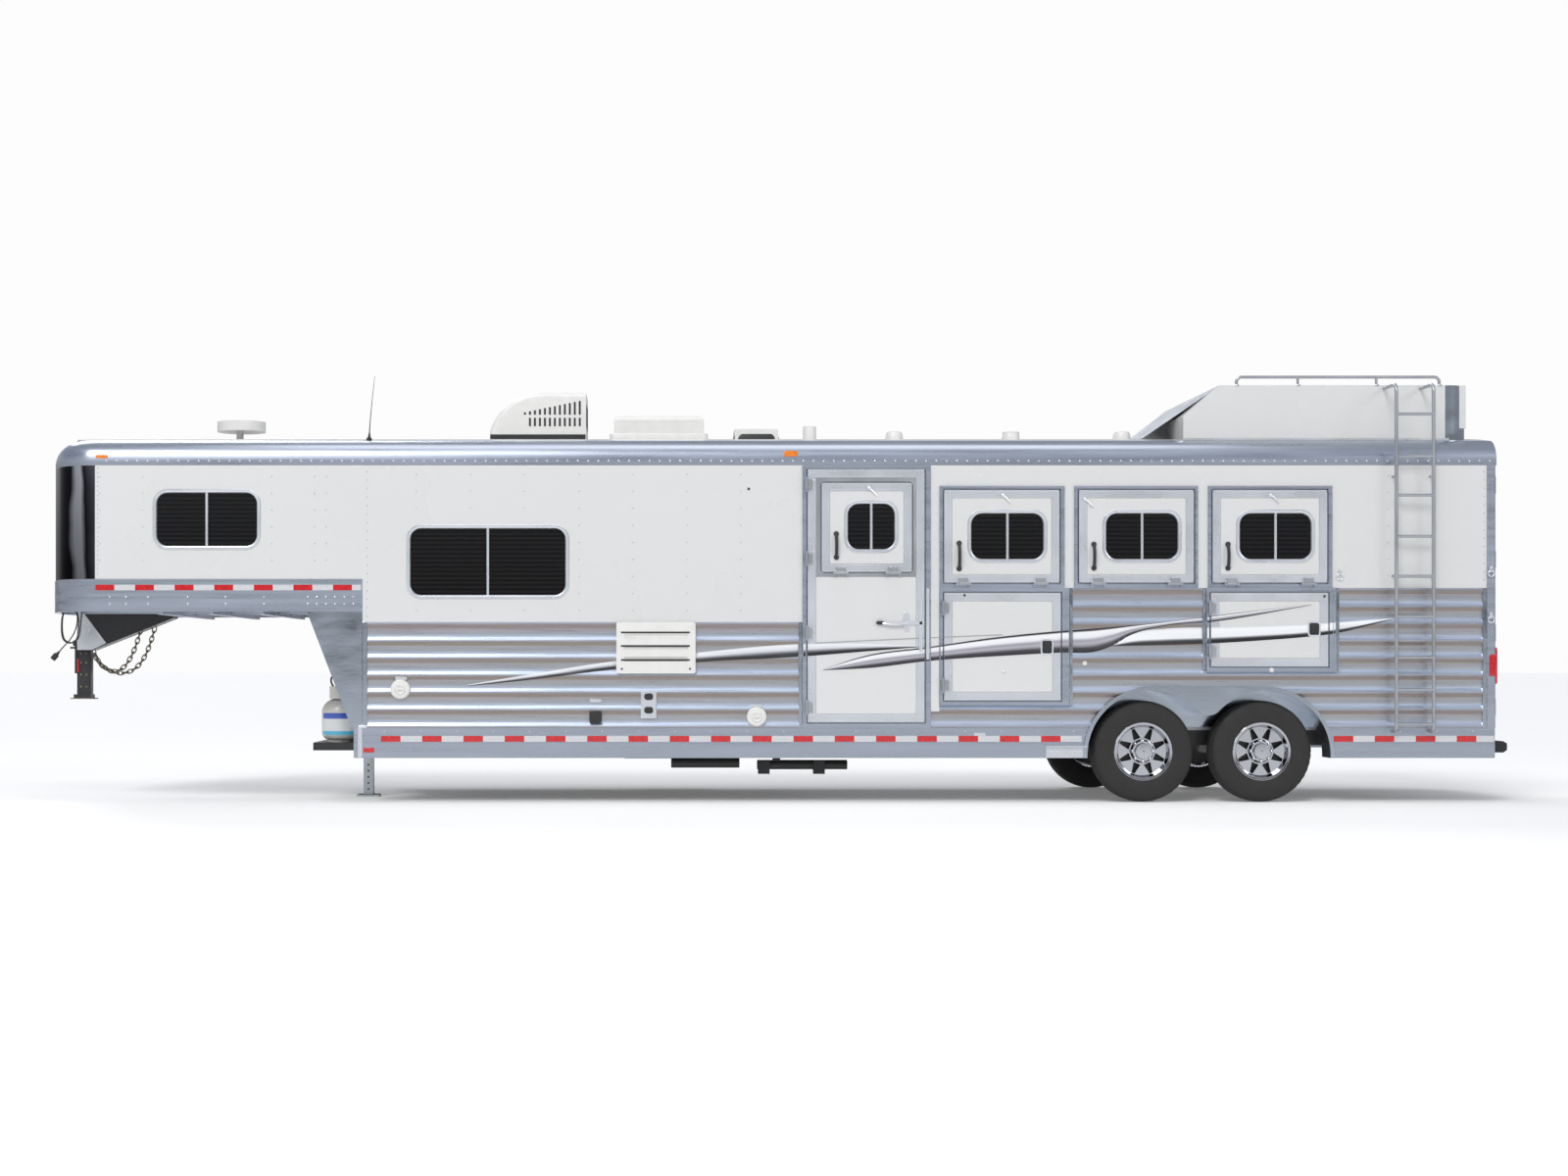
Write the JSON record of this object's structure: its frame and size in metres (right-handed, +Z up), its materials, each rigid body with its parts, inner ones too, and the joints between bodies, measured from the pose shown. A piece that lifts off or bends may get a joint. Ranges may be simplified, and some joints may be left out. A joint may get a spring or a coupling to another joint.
{
  "type": "gooseneck horse trailer with living quarters",
  "caption": "Tandem-axle gooseneck trailer that carries horses behind a living cabin, with drop windows, storage doors, rear doors, roof hay pod and ladder.",
  "frame": {"origin": "on the ground, on the centre line, halfway along the trailer", "axes": "+X to the rear along the trailer, +Z up, the left (driver's) side faces -Y"},
  "size_m": [11.6668, 2.588, 3.382],
  "materials": {
    "white_paint": "gloss",
    "plank_aluminium": "satin",
    "rail_aluminium": "satin",
    "mill_aluminium": "satin",
    "polished_trim": "polished",
    "polished_steel": "mirror polished",
    "polished_wheel": "polished",
    "black_steel": "satin",
    "grey_paint": "satin",
    "bottle_paint": "gloss",
    "chain_steel": "weathered zinc",
    "black_rubber": "matt",
    "tyre_rubber": "matt",
    "black_cable": "satin",
    "black_plastic": "matt",
    "white_plastic": "satin",
    "dark_glass": "tinted"
  },
  "bodies": {
    "trailer_body": {"axles": "black_steel", "chassis_frame": "black_steel", "coupler": "black_steel", "floor_deck": "mill_aluminium", "front_wall": "mill_aluminium", "left_fender": "polished_trim", "right_fender": "polished_trim", "left_upper_wall": "white_paint", "left_lower_wall": "plank_aluminium", "right_upper_wall": "white_paint", "right_lower_wall": "plank_aluminium", "neck_frame": "rail_aluminium", "neck_gussets": "polished_trim", "nose_skin": "polished_steel", "opening_frames": "rail_aluminium", "partition_wall": "white_paint", "rear_bumper": "black_rubber", "rear_frame": "rail_aluminium", "roof_rails": "rail_aluminium", "roof_sheet": "white_paint", "safety_chains": "chain_steel", "side_rails": "rail_aluminium", "window_glass": "dark_glass", "trailer_cord": "black_cable", "trailer_plug": "black_plastic", "gas_bottles": "bottle_paint", "jack_housing": "grey_paint", "waste_tanks": "black_plastic", "air_conditioner": "white_plastic", "roof_fittings": "white_plastic", "hay_pod": "white_paint", "pod_rails": "mill_aluminium", "ladder": "mill_aluminium", "service_hatches": "white_plastic"},
    "left_front_wheel": {"left_front_tyre": "tyre_rubber", "left_front_rim": "polished_wheel"},
    "right_front_wheel": {"right_front_tyre": "tyre_rubber", "right_front_rim": "polished_wheel"},
    "left_rear_wheel": {"left_rear_tyre": "tyre_rubber", "left_rear_rim": "polished_wheel"},
    "right_rear_wheel": {"right_rear_tyre": "tyre_rubber", "right_rear_rim": "polished_wheel"},
    "jack_leg": {"jack_leg": "grey_paint"},
    "side_door": {"side_door": "mill_aluminium"},
    "drop_window_1": {"drop_window_1": "mill_aluminium", "drop_window_1_glass": "dark_glass"},
    "drop_window_2": {"drop_window_2": "mill_aluminium", "drop_window_2_glass": "dark_glass"},
    "drop_window_3": {"drop_window_3": "mill_aluminium", "drop_window_3_glass": "dark_glass"},
    "drop_window_4": {"drop_window_4": "mill_aluminium", "drop_window_4_glass": "dark_glass"},
    "storage_door_front": {"storage_door_front": "mill_aluminium"},
    "storage_door_rear": {"storage_door_rear": "mill_aluminium"},
    "entry_door": {"entry_door": "mill_aluminium"},
    "rear_door_left": {"rear_door_left": "mill_aluminium", "rear_door_left_glass": "dark_glass"},
    "rear_door_right": {"rear_door_right": "mill_aluminium", "rear_door_right_glass": "dark_glass"},
    "entry_step": {"entry_step": "black_steel"}
  },
  "joints": [
    {"name": "left_front_wheel_spin", "type": "hinge", "parent": "trailer_body", "child": "left_front_wheel", "pos_m": [2.954, -1.0725, 0.4], "axis": [0, 1, 0], "continuous": true},
    {"name": "right_front_wheel_spin", "type": "hinge", "parent": "trailer_body", "child": "right_front_wheel", "pos_m": [2.954, 1.0725, 0.4], "axis": [0, 1, 0], "continuous": true},
    {"name": "left_rear_wheel_spin", "type": "hinge", "parent": "trailer_body", "child": "left_rear_wheel", "pos_m": [3.887, -1.0725, 0.4], "axis": [0, 1, 0], "continuous": true},
    {"name": "right_rear_wheel_spin", "type": "hinge", "parent": "trailer_body", "child": "right_rear_wheel", "pos_m": [3.887, 1.0725, 0.4], "axis": [0, 1, 0], "continuous": true},
    {"name": "jack_slide", "type": "slide", "parent": "trailer_body", "child": "jack_leg", "axis": [0, 0, 1], "range_m": [0, 0.27]},
    {"name": "side_door_hinge", "type": "hinge", "parent": "trailer_body", "child": "side_door", "pos_m": [0.3, -1.25, 1.6], "axis": [0, 0, 1], "range_deg": [-150, 0]},
    {"name": "storage_door_front_hinge", "type": "hinge", "parent": "trailer_body", "child": "storage_door_front", "pos_m": [1.371, -1.25, 1.2], "axis": [0, 0, 1], "range_deg": [-120, 0]},
    {"name": "storage_door_rear_hinge", "type": "hinge", "parent": "trailer_body", "child": "storage_door_rear", "pos_m": [3.466, -1.25, 1.35], "axis": [0, 0, 1], "range_deg": [-120, 0]},
    {"name": "entry_door_hinge", "type": "hinge", "parent": "trailer_body", "child": "entry_door", "pos_m": [-1.258, 1.25, 1.5], "axis": [0, 0, -1], "range_deg": [-160, 0]},
    {"name": "rear_door_left_hinge", "type": "hinge", "parent": "trailer_body", "child": "rear_door_left", "pos_m": [5.736, -1.129, 1.6], "axis": [0, 0, 1], "range_deg": [-175, 0]},
    {"name": "rear_door_right_hinge", "type": "hinge", "parent": "trailer_body", "child": "rear_door_right", "pos_m": [5.736, 1.129, 1.6], "axis": [0, 0, -1], "range_deg": [-175, 0]},
    {"name": "drop_window_1_hinge", "type": "hinge", "parent": "side_door", "child": "drop_window_1", "pos_m": [0.7725, -1.25, 1.803], "axis": [1, 0, 0], "range_deg": [0, 174]},
    {"name": "drop_window_2_hinge", "type": "hinge", "parent": "trailer_body", "child": "drop_window_2", "pos_m": [1.8325, -1.25, 1.719], "axis": [1, 0, 0], "range_deg": [0, 174]},
    {"name": "drop_window_3_hinge", "type": "hinge", "parent": "trailer_body", "child": "drop_window_3", "pos_m": [2.8895, -1.25, 1.719], "axis": [1, 0, 0], "range_deg": [0, 174]},
    {"name": "drop_window_4_hinge", "type": "hinge", "parent": "trailer_body", "child": "drop_window_4", "pos_m": [3.9375, -1.25, 1.719], "axis": [1, 0, 0], "range_deg": [0, 174]},
    {"name": "entry_step_slide", "type": "slide", "parent": "trailer_body", "child": "entry_step", "axis": [0, 1, 0], "range_m": [0, 0.25]}
  ]
}
